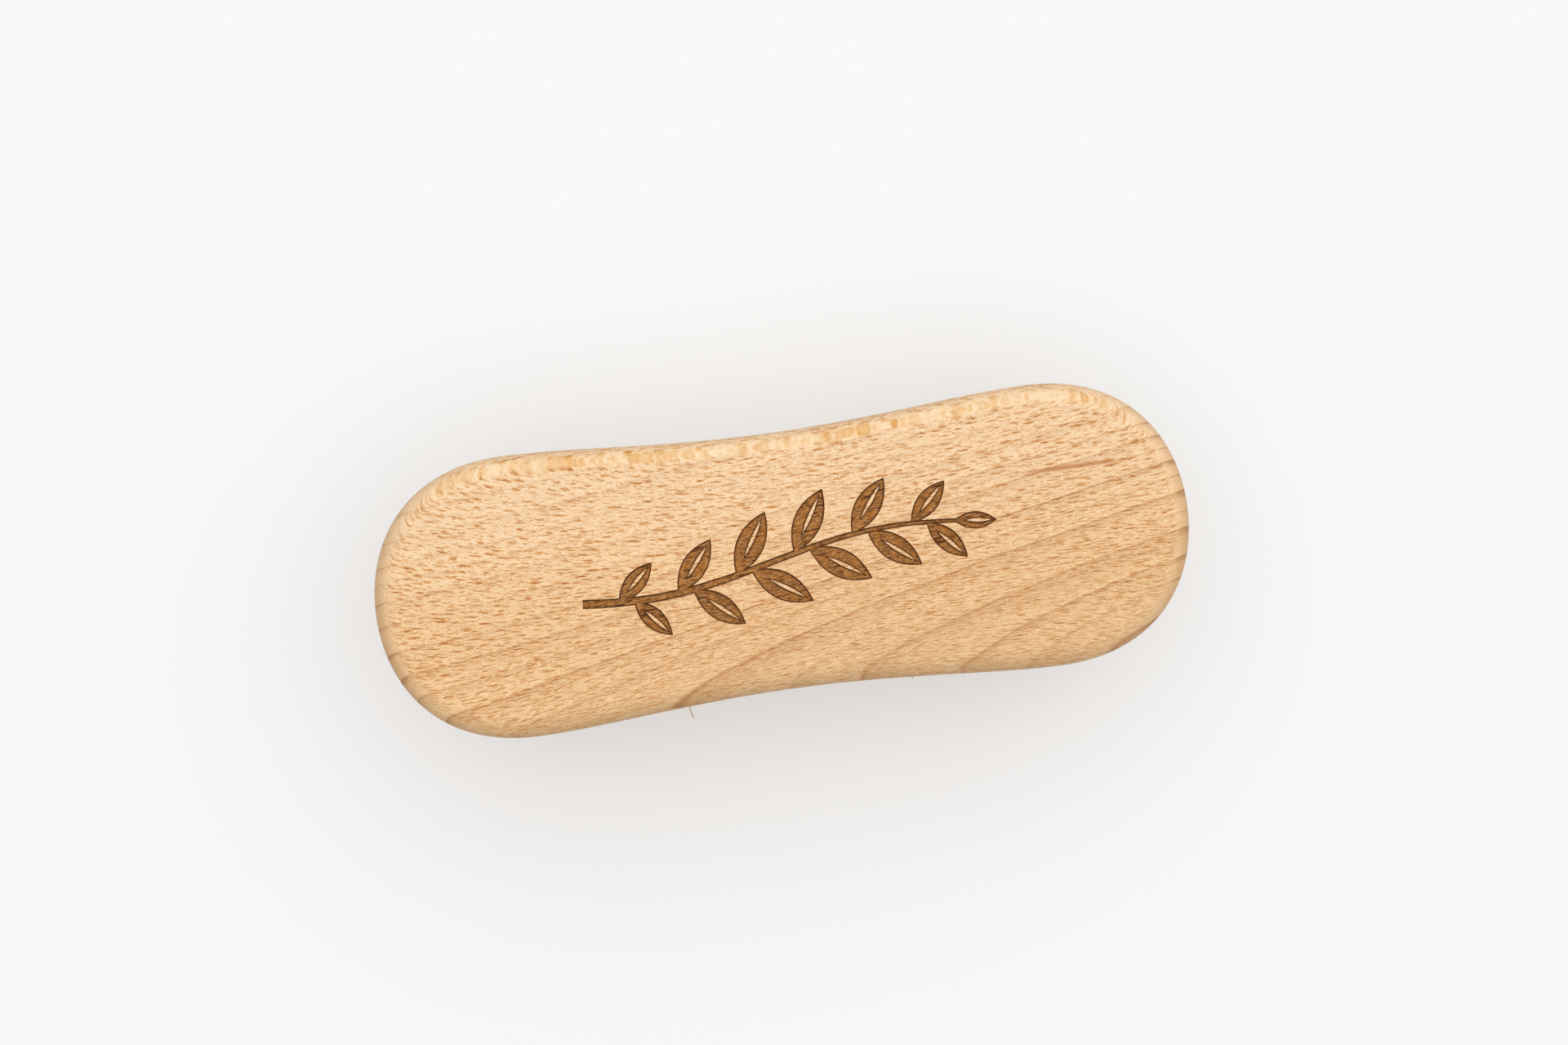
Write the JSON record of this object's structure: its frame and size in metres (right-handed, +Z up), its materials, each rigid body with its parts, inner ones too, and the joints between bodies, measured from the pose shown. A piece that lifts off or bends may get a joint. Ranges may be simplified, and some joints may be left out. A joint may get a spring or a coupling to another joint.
{
  "type": "clothes brush",
  "caption": "Small hand-held clothes brush: a waisted wooden block with rounded ends, set with staggered rows of plant-fibre bristle tufts, a sprig engraved on top.",
  "frame": {"origin": "centre of the bristle face, in the plane of the bristle tips that the brush stands on", "axes": "+X along the length of the block, +Y across it, +Z up from the bristle tips to the engraved top"},
  "size_m": [0.15, 0.0518, 0.044],
  "materials": {
    "beech": "satin, fine sanded and lightly oiled, with a burnt engraving",
    "bristle": "stiff plant fibre, natural cream to tan",
    "staple_wire": "flat drawn wire"
  },
  "bodies": {
    "root": {"block": "beech", "tuft_a01": "bristle", "tuft_a02": "bristle", "tuft_a03": "bristle", "tuft_a04": "bristle", "tuft_a05": "bristle", "tuft_a06": "bristle", "tuft_a07": "bristle", "tuft_a08": "bristle", "tuft_a09": "bristle", "tuft_a10": "bristle", "tuft_a11": "bristle", "tuft_b01": "bristle", "tuft_b02": "bristle", "tuft_b03": "bristle", "tuft_b04": "bristle", "tuft_b05": "bristle", "tuft_b06": "bristle", "tuft_b07": "bristle", "tuft_b08": "bristle", "tuft_b09": "bristle", "tuft_b10": "bristle", "tuft_b11": "bristle", "tuft_b12": "bristle", "tuft_c01": "bristle", "tuft_c02": "bristle", "tuft_c03": "bristle", "tuft_c04": "bristle", "tuft_c05": "bristle", "tuft_c06": "bristle", "tuft_c07": "bristle", "tuft_c08": "bristle", "tuft_c09": "bristle", "tuft_c10": "bristle", "tuft_c11": "bristle", "tuft_c12": "bristle", "tuft_c13": "bristle", "tuft_d01": "bristle", "tuft_d02": "bristle", "tuft_d03": "bristle", "tuft_d04": "bristle", "tuft_d05": "bristle", "tuft_d06": "bristle", "tuft_d07": "bristle", "tuft_d08": "bristle", "tuft_d09": "bristle", "tuft_d10": "bristle", "tuft_d11": "bristle", "tuft_d12": "bristle", "tuft_e01": "bristle", "tuft_e02": "bristle", "tuft_e03": "bristle", "tuft_e04": "bristle", "tuft_e05": "bristle", "tuft_e06": "bristle", "tuft_e07": "bristle", "tuft_e08": "bristle", "tuft_e09": "bristle", "tuft_e10": "bristle", "tuft_e11": "bristle"}
  },
  "joints": []
}
